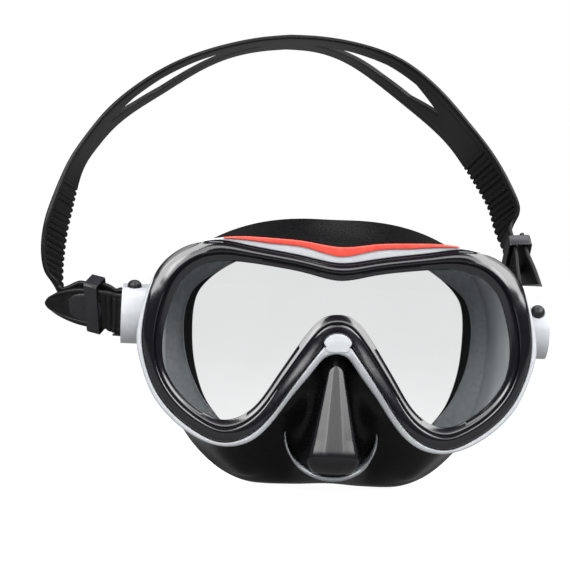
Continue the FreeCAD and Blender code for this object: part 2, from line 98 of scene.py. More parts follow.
# Half of the ring, from the top centre round the side to the bridge of the nose:
# the lens opening, the bezel's outer edge and the frame's outer edge, as (x, z).
RING = [
    ((0.0, 26.4), (0.0, 33.2), (0.0, 40.3)),
    ((13.0, 28.8), (13.5, 35.2), (14.0, 42.0)),
    ((26.0, 31.0), (27.0, 37.4), (27.5, 42.9)),
    ((38.0, 32.4), (40.0, 39.4), (40.5, 43.2)),
    ((49.0, 32.6), (52.0, 40.8), (52.4, 42.0)),
    ((57.0, 30.8), (60.5, 38.8), (61.2, 39.6)),
    ((62.7, 26.8), (67.0, 35.2), (67.9, 36.1)),
    ((66.8, 21.2), (72.3, 30.4), (73.3, 31.2)),
    ((69.6, 13.5), (76.6, 23.0), (77.8, 23.6)),
    ((71.6, 5.0), (79.4, 12.0), (81.3, 12.0)),
    ((72.2, -4.0), (80.3, -1.0), (83.0, -1.0)),
    ((70.8, -12.0), (78.0, -12.2), (80.4, -12.4)),
    ((66.6, -19.4), (73.3, -22.4), (75.5, -23.6)),
    ((60.8, -25.4), (66.0, -31.0), (67.7, -32.8)),
    ((54.0, -30.0), (56.6, -37.8), (57.8, -39.9)),
    ((46.8, -32.6), (46.5, -41.6), (46.3, -43.7)),
    ((39.6, -31.2), (36.6, -39.2), (35.0, -41.6)),
    ((32.0, -25.2), (27.6, -31.2), (25.4, -32.8)),
    ((25.2, -15.0), (20.3, -20.8), (17.8, -22.1)),
    ((18.6, -4.6), (13.0, -10.2), (10.4, -12.6)),
    ((12.2, 4.8), (7.2, -2.4), (5.7, -6.4)),
    ((6.0, 11.0), (3.6, 1.6), (3.0, -4.6)),
    ((0.0, 12.4), (0.0, 3.2), (0.0, -3.9)),
]
# The skirt's outer skin at the same places: a middle line and the rear rim, as (x, y, z).
SKIRT_MIDDLE = [
    (0.0, -26.0, 41.0), (13.5, -26.0, 41.8), (27.0, -26.0, 42.4), (39.5, -26.0, 41.8),
    (50.5, -25.0, 39.6), (58.5, -24.0, 36.0), (64.4, -24.0, 31.0), (68.8, -24.0, 25.0),
    (71.6, -24.0, 17.0), (72.8, -24.0, 8.0), (73.0, -24.0, -2.0), (72.4, -24.0, -11.5),
    (70.0, -24.0, -21.0), (65.4, -24.0, -31.0), (58.0, -24.0, -40.0), (49.0, -24.0, -46.0),
    (40.0, -26.0, -49.0), (31.0, -31.0, -48.0), (22.5, -38.0, -46.0), (16.0, -47.0, -45.0),
    (9.6, -58.0, -45.5), (5.0, -62.0, -46.0), (0.0, -63.0, -46.0),
]
SKIRT_REAR = [
    (0.0, -8.0, 52.8), (13.0, -8.0, 52.8), (26.0, -7.0, 51.6), (38.0, -5.0, 48.8),
    (49.0, -2.0, 44.4), (57.0, 1.0, 39.6), (63.0, 3.0, 34.0), (67.5, 5.0, 27.5),
    (70.8, 6.0, 19.5), (72.8, 7.0, 9.5), (73.2, 7.0, -1.5), (72.4, 6.0, -12.5),
    (70.6, 5.0, -23.0), (67.0, 3.0, -33.0), (62.4, 1.0, -41.0), (57.0, -1.0, -48.0),
    (49.5, -3.0, -55.0), (40.5, -5.0, -60.4), (31.0, -7.0, -62.95), (21.0, -9.0, -62.8),
    (12.0, -10.0, -62.2), (6.0, -10.0, -61.8), (0.0, -10.0, -61.6),
]
# The nose pocket's own lines, which take over from that place of the ring to its middle:
# under the bridge, down its front, round its tip and along its base.
NOSE_FIRST = 16
NOSE_TOP = [
    (36.0, -45.6, -33.6), (28.4, -45.8, -28.8), (21.2, -45.6, -22.6), (13.2, -45.0, -16.0),
    (6.8, -45.0, -10.0), (3.2, -48.5, -9.4), (0.0, -50.5, -9.0),
]
NOSE_BRIDGE = [
    (34.0, -45.8, -34.2), (25.6, -45.9, -31.6), (18.0, -45.0, -28.2), (9.0, -44.0, -24.6),
    (4.8, -50.0, -22.8), (2.4, -54.0, -22.2), (0.0, -55.4, -21.8),
]
NOSE_TIP = [
    (40.0, -26.0, -49.0), (31.0, -31.0, -48.0), (21.0, -35.0, -46.0), (13.0, -40.0, -45.5),
    (9.2, -52.0, -46.0), (4.8, -58.2, -46.8), (0.0, -59.6, -47.0),
]
NOSE_BASE = [
    (40.5, -14.0, -57.0), (31.0, -18.0, -59.0), (22.5, -24.0, -59.6), (16.0, -30.0, -59.6),
    (10.0, -38.0, -59.0), (5.2, -42.0, -58.6), (0.0, -43.0, -58.4),
]
# The inner edge of the skirt's face flange.
FACE_EDGE = [
    (0.0, -4.0, 41.0), (13.0, -4.0, 40.6), (25.0, -3.5, 39.0), (35.0, -2.5, 36.0),
    (43.5, -1.0, 32.0), (49.5, 0.5, 28.0), (54.0, 2.0, 24.0), (57.4, 3.0, 19.5),
    (59.2, 4.0, 14.0), (59.8, 4.5, 7.0), (59.6, 4.5, -1.0), (58.8, 4.0, -9.0),
    (57.0, 3.0, -17.0), (54.4, 2.0, -24.5), (51.0, 0.5, -30.5), (46.0, -1.0, -36.5),
    (39.0, -2.5, -44.0), (30.5, -4.5, -50.5), (22.0, -6.5, -54.0), (15.0, -8.0, -56.0),
    (9.0, -9.0, -57.0), (4.5, -9.5, -57.2), (0.0, -9.5, -57.2),
]

# The strap's two edges from its left end over the top to its right end:
# the front edge and the rear edge, as (x, y, z).
ARCH = [
    ((-124.4, -21.0, 47.0), (-116.0, -5.5, 42.5)),
    ((-122.0, -19.0, 56.0), (-114.5, -3.0, 52.0)),
    ((-118.5, -16.0, 66.0), (-113.0, 1.0, 62.0)),
    ((-114.5, -14.0, 75.0), (-110.5, 5.0, 72.0)),
    ((-109.0, -12.0, 84.0), (-105.5, 10.0, 81.0)),
    ((-101.0, -10.0, 95.0), (-98.0, 16.0, 91.0)),
    ((-91.0, -8.0, 105.0), (-88.0, 22.0, 100.0)),
    ((-79.0, -6.0, 114.0), (-77.0, 27.0, 108.0)),
    ((-64.0, -4.0, 122.0), (-63.0, 31.0, 118.0)),
    ((-45.0, -2.0, 128.5), (-45.0, 34.0, 127.0)),
    ((-33.5, -2.0, 131.0), (-33.0, 35.0, 130.0)),
    ((-22.0, -2.0, 132.5), (-22.0, 35.9, 131.5)),
    ((-10.0, -2.0, 132.5), (-10.0, 35.9, 131.0)),
    ((8.0, -2.0, 130.5), (6.0, 34.0, 126.0)),
    ((24.0, -2.0, 126.0), (20.0, 31.0, 117.0)),
    ((37.0, -2.0, 118.5), (33.0, 28.0, 107.0)),
    ((49.0, -2.0, 108.0), (45.0, 26.0, 97.5)),
    ((58.0, -3.0, 98.0), (53.5, 23.0, 89.0)),
    ((66.0, -3.0, 89.0), (59.6, 18.0, 80.0)),
    ((74.0, -3.0, 78.0), (65.8, 13.5, 69.5)),
    ((79.4, -4.0, 68.0), (71.0, 12.0, 60.0)),
    ((81.4, -3.6, 58.6), (74.8, 11.6, 49.0)),
]
ARCH_JOIN = 11           # the two visible straps meet at this place of the arch
# Share of the width at which each slot starts and ends, by place along the arch.
SLOTS = {
    6: (0.34, 0.66), 7: (0.28, 0.72), 8: (0.3, 0.7), 9: (0.38, 0.62),
    13: (0.38, 0.62), 14: (0.3, 0.7), 15: (0.3, 0.7),
}
# The left strap's turn from the buckle's direction to the upward flank: top edge, lower edge.
LEFT_TURN = [
    ((-115.6, -17.4, 19.0), (-111.6, -11.4, 4.0)),
    ((-119.4, -18.6, 21.4), (-115.2, -8.6, 11.0)),
    ((-122.6, -19.6, 24.4), (-116.8, -7.4, 18.0)),
    ((-124.6, -20.4, 29.0), (-117.2, -7.0, 24.6)),
    ((-125.4, -21.0, 35.0), (-117.0, -6.8, 30.6)),
    ((-125.2, -21.0, 41.5), (-116.6, -6.2, 36.6)),
]


# ---------------------------------------------------------------- camera, light and floor
CAMERA_PLACE = (-66.65, -904.86, 29.66)
CAMERA_AIM = (-22.84, FRONT_Y, 23.86)
CAMERA_ROLL = 2.3        # degrees
CAMERA_LENS = 130.1
SENSOR_WIDTH = 36.0


def make_camera():
    """A long lens a little to the left of the mask, looking at its front."""
    location = Vector(CAMERA_PLACE) * MM
    target = Vector(CAMERA_AIM) * MM
    roll = math.radians(CAMERA_ROLL)
    forward = (target - location).normalized()
    level = forward.cross(Vector((0, 0, 1))).normalized()
    upright = level.cross(forward)
    right = level * math.cos(roll) + upright * math.sin(roll)
    up = upright * math.cos(roll) - level * math.sin(roll)
    data = bpy.data.cameras.new("camera")
    data.lens = CAMERA_LENS
    data.sensor_width = SENSOR_WIDTH
    data.clip_start = 0.01
    data.clip_end = 20.0
    camera = bpy.data.objects.new("camera", data)
    bpy.context.collection.objects.link(camera)
    turned = Matrix((right, up, -forward)).transposed().to_4x4()
    camera.matrix_world = Matrix.Translation(location) @ turned
    bpy.context.scene.camera = camera


def area_light(name, place, aim, size, power):
    """A rectangular lamp at a place, in metres, facing the point that it aims at."""
    data = bpy.data.lights.new(name, "AREA")
    data.shape = "RECTANGLE"
    data.size, data.size_y = size
    data.energy = power
    light = bpy.data.objects.new(name, data)
    light.location = place
    light.rotation_mode = "QUATERNION"
    light.rotation_quaternion = (Vector(aim) - Vector(place)).to_track_quat("-Z", "Y")
    bpy.context.collection.objects.link(light)


def math_node(tree, operation, *values):
    """A maths node's output. Each value is a socket to link or a plain number."""
    node = tree.nodes.new("ShaderNodeMath")
    node.operation = operation
    for socket, value in zip(node.inputs, values):
        if isinstance(value, bpy.types.NodeSocket):
            tree.links.new(value, socket)
        else:
            socket.default_value = value
    return node.outputs[0]


def seen_strength(tree, seen, lighting, mirrored):
    """A strength that differs for what is seen, for what lights surfaces and for reflections.

    What is seen through glass counts as seen, unless a reflection lies on the way.
    """
    rays = tree.nodes.new("ShaderNodeLightPath").outputs
    straight = math_node(tree, "MAXIMUM", rays["Is Camera Ray"], rays["Is Transmission Ray"])
    unmirrored = math_node(tree, "LESS_THAN", rays["Glossy Depth"], 0.5)
    clear = math_node(tree, "MULTIPLY", straight, unmirrored)
    lit = math_node(tree, "MULTIPLY_ADD", rays["Is Diffuse Ray"], lighting - mirrored, mirrored)
    return math_node(tree, "MULTIPLY_ADD", clear, seen - mirrored, lit)


def make_studio():
    """White to look at and to look through, and dimmer for what the surfaces reflect."""
    world = bpy.data.worlds.new("studio")
    world.use_nodes = True
    tree = world.node_tree
    background = tree.nodes["Background"]
    background.inputs["Color"].default_value = (1.0, 1.0, 1.0, 1.0)
    tree.links.new(seen_strength(tree, 1.0, 0.35, 0.08), background.inputs["Strength"])
    bpy.context.scene.world = world
    bpy.context.scene.view_settings.view_transform = "Standard"
    area_light("key_left", (-0.62, -0.62, 0.62), (0, 0, 0.02), (0.8, 0.8), 13.0)
    area_light("key_right", (0.66, -0.56, 0.62), (0, 0, 0.02), (0.8, 0.8), 13.5)
    area_light("front_high", (0.0, -1.25, 0.5), (0, 0, -0.02), (1.5, 0.4), 6.0)
    area_light("top", (0.0, 0.1, 0.9), (0, -0.02, 0.03), (0.9, 0.4), 5.0)
    area_light("high_right", (0.75, 0.2, 0.75), (0, 0, 0.02), (0.7, 0.7), 4.0)


def make_floor(material):
    """A flat sheet just under the mask, which starts a little in front of it."""
    low = cad_box[0].z - 0.2 * MM
    mesh = bpy.data.meshes.new("floor")
    reach, front = 12.0, -0.45
    corners = [(-reach, front, low), (reach, front, low), (reach, reach, low), (-reach, reach, low)]
    mesh.from_pydata(corners, [], [(0, 1, 2, 3)])
    floor = bpy.data.objects.new("floor", mesh)
    mesh.materials.append(material)
    bpy.context.collection.objects.link(floor)


# ---------------------------------------------------------------- materials
def surface(name, dark, light, rough, grain, bump=0.0, shine=0.5, metallic=0.0, stretch=(1, 1, 1)):
    """A shader whose colour and roughness drift between two values over a fine noise."""
    material = bpy.data.materials.new(name)
    material.use_nodes = True
    nodes, links = material.node_tree.nodes, material.node_tree.links
    shader = nodes["Principled BSDF"]
    place = nodes.new("ShaderNodeTexCoord")
    mapping = nodes.new("ShaderNodeMapping")
    mapping.inputs["Scale"].default_value = stretch
    noise = nodes.new("ShaderNodeTexNoise")
    noise.inputs["Scale"].default_value = grain
    noise.inputs["Detail"].default_value = 5.0
    colour = nodes.new("ShaderNodeValToRGB")
    colour.color_ramp.elements[0].position = 0.3
    colour.color_ramp.elements[0].color = (*dark, 1.0)
    colour.color_ramp.elements[1].position = 0.7
    colour.color_ramp.elements[1].color = (*light, 1.0)
    roughness = nodes.new("ShaderNodeMapRange")
    roughness.inputs["To Min"].default_value = rough[0]
    roughness.inputs["To Max"].default_value = rough[1]
    links.new(place.outputs["Object"], mapping.inputs["Vector"])
    links.new(mapping.outputs["Vector"], noise.inputs["Vector"])
    links.new(noise.outputs["Fac"], colour.inputs["Fac"])
    links.new(noise.outputs["Fac"], roughness.inputs["Value"])
    links.new(colour.outputs["Color"], shader.inputs["Base Color"])
    links.new(roughness.outputs["Result"], shader.inputs["Roughness"])
    shader.inputs["Metallic"].default_value = metallic
    shader.inputs["Specular IOR Level"].default_value = shine
    if bump:
        relief = nodes.new("ShaderNodeBump")
        relief.inputs["Strength"].default_value = bump
        relief.inputs["Distance"].default_value = 0.2 * MM
        links.new(noise.outputs["Fac"], relief.inputs["Height"])
        links.new(relief.outputs["Normal"], shader.inputs["Normal"])
    return material


def glass(name):
    """Slightly grey clear glass."""
    material = surface(name, (0.785, 0.79, 0.795), (0.8, 0.805, 0.81), (0.0, 0.015), 60.0)
    shader = material.node_tree.nodes["Principled BSDF"]
    shader.inputs["Transmission Weight"].default_value = 1.0
    shader.inputs["IOR"].default_value = 1.45
    return material


def floor_material():
    """Pale paper that glows a little, so that it meets the white background."""
    material = surface("floor_pale", (0.11, 0.11, 0.11), (0.12, 0.12, 0.12), (0.6, 0.7), 20.0)
    tree = material.node_tree
    shader = tree.nodes["Principled BSDF"]
    shader.inputs["Specular IOR Level"].default_value = 0.0
    shader.inputs["Emission Color"].default_value = (1.0, 1.0, 1.0, 1.0)
    tree.links.new(seen_strength(tree, 0.97, 0.4, 0.12), shader.inputs["Emission Strength"])
    return material


# Each surface: its name, its two colours, its two roughnesses and its grain per metre, then
# where they differ from the usual its bump, shine, metallic share and stretch.
MATERIALS = {
    "glass": glass("tempered_glass"),
    "bezel_black": surface(
        "bezel_gloss", (0.0025, 0.002, 0.004), (0.004, 0.0035, 0.006), (0.1, 0.16), 500.0, 0.02, 1.0),
    "frame_white": surface(
        "frame_pearl", (0.42, 0.435, 0.46), (0.46, 0.475, 0.5), (0.28, 0.36), 400.0, 0.03),
    "accent_coral": surface(
        "coral_trim", (0.62, 0.05, 0.035), (0.7, 0.075, 0.05), (0.3, 0.4), 500.0, 0.03),
    "silicone_black": surface(
        "skirt_silicone", (0.003, 0.003, 0.0035), (0.0045, 0.0045, 0.005), (0.22, 0.32), 700.0,
        0.02, 0.22),
    "nose_gloss": surface(
        "nose_silicone", (0.004, 0.0035, 0.005), (0.006, 0.0055, 0.007), (0.16, 0.24), 700.0, 0.02, 0.55),
    # The lip's near-black with little shine is painted shade on the face flange's edge.
    "lip_painted_shade": surface(
        "lip_shade_silicone", (0.002, 0.002, 0.0025), (0.003, 0.003, 0.0035), (0.4, 0.5), 700.0, 0.02, 0.1),
    # The rim's pale grey is a painted highlight along the black silicone rim.
    "rim_painted_highlight": surface(
        "rim_highlight_silicone", (0.13, 0.14, 0.15), (0.18, 0.19, 0.2), (0.18, 0.26), 700.0, 0.02, 0.8),
    # The inner wall's pale grey is painted light: the light that falls on the black silicone inside,
    # through the lens.
    "skirt_inside_painted_light": surface(
        "skirt_inside_painted_light", (0.27, 0.29, 0.3), (0.35, 0.37, 0.385), (0.35, 0.45), 500.0, 0.03),
    "strap_black": surface(
        "strap_silicone", (0.003, 0.003, 0.0035), (0.006, 0.006, 0.0065), (0.34, 0.46), 900.0, 0.08, 0.25),
    "button_rubber": surface(
        "button_rubber", (0.008, 0.008, 0.009), (0.014, 0.014, 0.016), (0.3, 0.42), 900.0, 0.08, 0.4),
    "buckle_black": surface(
        "buckle_nylon", (0.01, 0.0095, 0.012), (0.016, 0.015, 0.018), (0.28, 0.4), 1200.0, 0.1, 0.45),
    "pin_steel": surface(
        "pin_steel", (0.5, 0.5, 0.51), (0.62, 0.62, 0.63), (0.22, 0.34), 500.0, 0.05, 0.5, 1.0, (12, 1, 1)),
}


# ---------------------------------------------------------------- helpers
def spline_weights(knots, places, closed=False):
    """The matrix that takes values at the knots to a cubic spline's values at the places."""
    count = len(knots) - 1 if closed else len(knots)
    gaps = np.diff(knots)
    bends, slopes = np.zeros((count, count)), np.zeros((count, count))
    for i in range(count):
        if not closed and i in (0, count - 1):
            bends[i, i] = 1.0
            continue
        before, after = gaps[i - 1], gaps[i]
        previous, following = (i - 1) % count, (i + 1) % count
        bends[i, previous] += before
        bends[i, i] += 2 * (before + after)
        bends[i, following] += after
        slopes[i, previous] += 6 / before
        slopes[i, i] -= 6 / before + 6 / after
        slopes[i, following] += 6 / after
    second = np.linalg.solve(bends, slopes)
    weights = np.zeros((len(places), count))
    for row, place in enumerate(places):
        i = min(int(np.searchsorted(knots, place, side="right")) - 1, len(gaps) - 1)
        following = (i + 1) % count
        gap, to_end, from_start = gaps[i], knots[i + 1] - place, place - knots[i]
        weights[row] += second[i] * (to_end ** 3 / (6 * gap) - to_end * gap / 6)
        weights[row] += second[following] * (from_start ** 3 / (6 * gap) - from_start * gap / 6)
        weights[row, i] += to_end / gap
        weights[row, following] += from_start / gap
    return weights


def unit(vectors):
    """The vectors' directions, each of length 1."""
    return vectors / np.linalg.norm(vectors, axis=-1, keepdims=True)


def chords(points):
    """The length so far along a line of points."""
    steps = np.linalg.norm(np.diff(points, axis=0), axis=1)
    return np.concatenate([[0.0], np.cumsum(steps)])


def resampled(line, count):
    """A smooth curve of that many points through the line's own."""
    knots = chords(line)
    return spline_weights(knots, np.linspace(0.0, knots[-1], count)) @ line


def between(knots, per_gap):
    """Places along the knots: that many equal steps in each gap, without the last knot."""
    return np.concatenate([
        np.linspace(a, b, per_gap, endpoint=False) for a, b in zip(knots, knots[1:])
    ])


def whole(half):
    """A closed loop of points from its half at +X."""
    half = np.asarray(half, float)
    mirrored = half[-2:0:-1].copy()
    mirrored[:, 0] *= -1
    return np.concatenate([half, mirrored])


OPENING, BEZEL_EDGE, FRAME_EDGE = (whole([place[k] for place in RING]) for k in range(3))
RING_STEPS = 10          # samples between two places of the ring
RING_KNOTS = chords(np.concatenate([BEZEL_EDGE, BEZEL_EDGE[:1]]))
ROUND = spline_weights(RING_KNOTS, between(RING_KNOTS, RING_STEPS), closed=True)
opening_line, bezel_line, frame_line = ROUND @ OPENING, ROUND @ BEZEL_EDGE, ROUND @ FRAME_EDGE


def outward(line):
    """The direction out of a closed line in the XZ plane, at each of its points."""
    along = np.roll(line, -1, axis=0) - np.roll(line, 1, axis=0)
    return unit(np.column_stack([-along[:, 1], along[:, 0]]))


ring_out = outward(bezel_line)


def ring_loop(share, offset, depth):
    """A sampled ring loop. Share 0 is the opening, 1 the bezel's edge, 2 the frame's."""
    share = np.broadcast_to(np.asarray(share, float), len(ROUND))[:, None]
    inner = opening_line + (bezel_line - opening_line) * np.minimum(share, 1.0)
    line = inner + (frame_line - bezel_line) * np.maximum(share - 1.0, 0.0)
    line = line + ring_out * np.broadcast_to(offset, len(ROUND))[:, None]
    deep = np.broadcast_to(np.asarray(depth, float), len(ROUND))
    return np.column_stack([line[:, 0], FRONT_Y + deep, line[:, 1]])


def grid_faces(rows, columns, rows_closed, columns_closed):
    """Four-sided faces over a grid of points that are numbered row by row."""
    faces = []
    for i in range(rows if rows_closed else rows - 1):
        for j in range(columns if columns_closed else columns - 1):
            a, b = i * columns + j, i * columns + (j + 1) % columns
            c, d = (i + 1) % rows * columns + (j + 1) % columns, (i + 1) % rows * columns + j
            faces.append((a, b, c, d))
    return faces


def stack_faces(rows, columns):
    """The faces of a stack of closed loops, with a cap on the first and on the last loop."""
    faces = grid_faces(rows, columns, False, True)
    faces.append(tuple(range(columns)))
    faces.append(tuple(range(rows * columns - 1, (rows - 1) * columns - 1, -1)))
    return faces


def bar_faces(rows, columns):
    """The faces of a bar whose rows of points run along it, with a cap on either end."""
    faces = grid_faces(rows, columns, True, False)
    faces.append(tuple(k * columns for k in range(rows)))
    faces.append(tuple(k * columns + columns - 1 for k in reversed(range(rows))))
    return faces


def piece(name, points, faces, slot, sharp=35.0, bevel=0.0):
    """A mesh object from points in millimetres, with its normals out and its edges eased."""
    mesh = bpy.data.meshes.new(name)
    mesh.from_pydata((np.asarray(points, float) * MM).tolist(), [], faces)
    obj = bpy.data.objects.new(name, mesh)
    bpy.context.collection.objects.link(obj)
    return finished(obj, slot, sharp, bevel)


def finished(obj, slot, sharp, bevel, merge=0.001):
    """The object with its mesh cleaned, its material set and its edges eased."""
    mesh = obj.data
    work = bmesh.new()
    work.from_mesh(mesh)
    bmesh.ops.remove_doubles(work, verts=work.verts, dist=merge * MM)
    bmesh.ops.recalc_face_normals(work, faces=work.faces)
    work.to_mesh(mesh)
    work.free()
    mesh.materials.clear()
    mesh.materials.append(MATERIALS[slot])
    if bevel:
        ease = obj.modifiers.new("ease", "BEVEL")
        ease.width = bevel * MM
        ease.segments = 2
        ease.limit_method = "ANGLE"
        ease.angle_limit = math.radians(sharp)
    mesh.shade_smooth()
    mesh.set_sharp_from_angle(angle=math.radians(sharp))
    return obj


def on_body(obj, body, *nodes):
    """The object rides that body and stands in for those CAD nodes."""
    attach(obj, body)
    if nodes:
        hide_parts(*nodes)
    return obj


def refined(side, node, name, slot, body, bevel):
    """One side's CAD node, in its own shape with its edges eased."""
    node, name = side.name + "_" + node, side.name + "_" + name
    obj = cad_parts[node].copy()
    obj.data = obj.data.copy()
    obj.parent = None
    obj.matrix_world = Matrix.Identity(4)
    obj.name = name
    obj.data.name = name
    bpy.context.collection.objects.link(obj)
    for key in list(obj.keys()):
        del obj[key]
    finished(obj, slot, 30.0, bevel, 0.002)
    return on_body(obj, body, node)


def smooth(t):
    """0 up to 0, 1 from 1 on, and an even S-curve between them."""
    t = np.clip(t, 0.0, 1.0)
    return t * t * (3 - 2 * t)


def bump(centre, reach):
    """1 at a place of the half ring, falling smoothly to 0 at that many places to either side."""
    count = len(RING) - 1
    place = np.arange(len(ROUND)) / RING_STEPS
    place = np.minimum(place, 2 * count - place)
    return smooth(1.0 - np.abs(place - centre) / reach)


# ---------------------------------------------------------------- lens, bezel, frame
# Places of the half ring, counted in RING.
UPPER_CORNER = 6.4
ARM = 19.0               # middle of the straight arm down beside the nose
BRIDGE = 22.0


def ring_piece(name, profile, slot):
    """A closed ring whose section passes through the profile's (share, offset, depth)."""
    loops = [ring_loop(*step) for step in profile]
    faces = grid_faces(len(loops), len(ROUND), True, True)
    return piece(name, np.concatenate(loops), faces, slot, 40.0)


def make_lens():
    """One flat pane with a narrow ground edge all round."""
    edge = 0.4
    loops = [
        ring_loop(LENS_SHARE, -edge, LIP), ring_loop(LENS_SHARE, 0.0, LIP + edge),
        ring_loop(LENS_SHARE, 0.0, LENS_BACK - edge), ring_loop(LENS_SHARE, -edge, LENS_BACK),
    ]
    faces = stack_faces(len(loops), len(ROUND))
    lens = piece("lens_pane", np.concatenate(loops), faces, "glass", 20.0)
    lens.visible_shadow = False
    on_body(lens, "mask", "lens")


def make_bezel():
    """The lip overhangs the frame's edge at the upper corners, where its bevel is widest."""
    corner = bump(UPPER_CORNER, 2.9)
    edge = 1.0 + 0.98 * smooth(1.3 * corner)
    wide = smooth(1.6 * corner)
    top = 0.62 - 0.2 * wide
    vee = bump(ARM, 5.0)     # the arms beside the nose lean in towards the lens
    profile = [
        (0.0, 0.0, LIP), (0.0, 0.0, 1.7), (0.05, 0.0, 1.3), (0.2, 0.0, 1.2), (0.24, 0.0, 0.95),
        (0.34, 0.0, 0.9), (0.37, 0.0, 1.35), (0.4, 0.0, 1.35), (0.42, 0.0, 0.9),
        (0.45, 0.0, 0.25 + 0.68 * vee), (0.49, 0.0, 0.06 + 0.86 * vee), (0.53, 0.0, 0.86 * vee),
        (top + 0.02, 0.0, 0.66 * vee), (0.74, 0.0, 0.12 + 0.3 * wide + 0.3 * vee),
        (0.85, 0.0, 0.35 + 0.6 * wide - 0.17 * vee), (0.93, 0.0, 0.75 + 0.5 * wide - 0.72 * vee),
        (0.97, 0.0, 1.1 + 0.3 * wide - 0.75 * vee), (edge, 0.0, 1.55), (edge, 0.0, 2.2),
        (1.0, 0.0, 2.3), (1.0, 0.0, LENS_BACK), (LENS_SHARE + 0.05, 0.0, LENS_BACK),
        (LENS_SHARE + 0.05, 0.0, LIP),
    ]
    on_body(ring_piece("bezel_ring", profile, "bezel_black"), "mask", "front_bezel")


def make_frame():
    """Its front edge rises to the keystone at the bridge and passes under the bezel's corners."""
    room = np.linalg.norm(frame_line - bezel_line, axis=1)
    gap = np.minimum(0.45, 0.25 * room)
    ease = np.minimum(0.9, 0.33 * room)
    front = 1.6 + 0.8 * smooth(2.0 * bump(UPPER_CORNER, 2.9)) - 2.2 * bump(BRIDGE, 4.5)
    fall = 1.8 * bump(ARM, 5.0)
    profile = [
        (1.0, gap, COLLAR_BACK), (1.0, gap, front + 0.8), (1.0, gap + 0.25 * ease, front + 0.2),
        (1.0, gap + 0.7 * ease, front), (1.5, 0.0, front + 0.25 * fall),
        (2.0, -ease, front + 0.05 + 0.7 * fall), (2.0, -0.5 * ease, front + 0.25 + fall),
        (2.0, -0.18 * ease, front + 0.65 + 1.2 * fall), (2.0, 0.0, front + 1.3 + 1.4 * fall),
        (2.0, 0.0, FRAME_BACK), (NECK_SHARE + 0.07, 0.0, FRAME_BACK),
        (NECK_SHARE + 0.07, 0.0, COLLAR_BACK),
    ]
    on_body(ring_piece("frame_ring", profile, "frame_white"), "mask", "main_frame")


def make_frame_arms():
    """On each side a round-ended arm from the frame back to the pivot."""
    half, near, far = 6, 74.6, HOUSING_IN - 0.2
    rear = FRONT_Y + COLLAR_BACK
    steps = np.radians(np.linspace(-90, 90, 19))
    rim = [(PIVOT_Y + half * math.cos(a), PIVOT_Z + half * math.sin(a)) for a in steps]
    outline = [(rear, PIVOT_Z - half)] + rim + [(rear, PIVOT_Z + half)]
    for side in (LEFT, RIGHT):
        points = [(side.sign * x, y, z) for x in (near, far) for y, z in outline]
        faces = stack_faces(2, len(outline))
        arm = piece(side.name + "_frame_arm", points, faces, "frame_white", 30.0, 0.5)
        on_body(arm, "mask")


def make_trim():
    """The coral strip on the frame's top edge, which runs out to a point at either end."""
    reach, taper = 49.0, 20.0
    x = frame_line[:, 0]
    on_top = (np.abs(x) < reach) & (frame_line[:, 1] > 20.0)
    order = np.argsort(x[on_top])
    room = np.linalg.norm(frame_line - bezel_line, axis=1)
    height = 1.6 * np.exp(-(x / 12.0) ** 2) + 2.2
    height = height * np.clip((reach - np.abs(x)) / taper, 0.05, 1.0) ** 0.5
    high = 2.0
    low = high - np.clip(height / room, 0.0, 0.75)
    slope = (high - low) * 0.22
    depth = 0.5
    profile = [
        (low, 0.0, 1.65), (low, 0.0, depth + 0.4), (low + slope, 0.0, depth), (high, -0.5, depth),
        (high, 0.02, depth + 0.45), (high, 0.05, 2.6), (high, -0.3, 2.7),
    ]
    rows = [ring_loop(*step)[on_top][order] for step in profile]
    faces = bar_faces(len(rows), len(order))
    strip = piece("coral_strip", np.concatenate(rows), faces, "accent_coral", 40.0)
    on_body(strip, "mask", "accent_trim")


def clip_part(name, slot, outline, steps):
    """A cap over the outline. Each step is how far it grows and its depth behind the front."""
    rows = []
    for grow, depth in steps:
        for x, z in outline:
            away = unit(np.array([x, z - 0.2])) * grow
            under = 0.3 if z < -1.2 else 0.0
            rows.append((x + away[0], FRONT_Y + depth + under, z + away[1]))
    return piece(name, rows, stack_faces(len(steps), len(outline)), slot)


def make_clip():
    """The keystone's head over the top of the frame, outlined by a black ring that is a painted shadow gap.
    """
    right = [
        (1.6, 4.35), (3.4, 3.7), (4.8, 2.5), (5.7, 1.2), (5.75, 0.6), (5.4, -0.1), (4.8, -0.9),
        (5.3, -1.6), (4.0, -3.0),
    ]
    head = [(0.0, 4.45)] + right + [(-x, z) for x, z in reversed(right)]
    # The black ring round the head stands in for the shadow gap: painted shadow.
    seat = [(x, max(z, -1.0)) for x, z in head]
    head_steps = [(0.0, 1.55), (0.0, -0.35), (-0.2, -0.55), (-0.5, -0.6)]
    shadow_gap_steps = [(0.5, 1.55), (0.5, 0.05), (0.45, -0.1), (0.3, -0.14)]
    on_body(clip_part("bridge_keystone", "frame_white", head, head_steps), "mask", "bridge_clip")
    on_body(clip_part("bridge_shadow_gap", "bezel_black", seat, shadow_gap_steps), "mask")


# ---------------------------------------------------------------- skirt
SKIRT_WALL = 1.8
SKIRT_ROWS = 73          # rows of points from the neck to the rear rim
CALM_PASSES = 30         # smoothing of the directions in which the wall is thickened
LIP_ROWS = 3             # rows of faces of the edge painted black as shade, in front of the inner wall
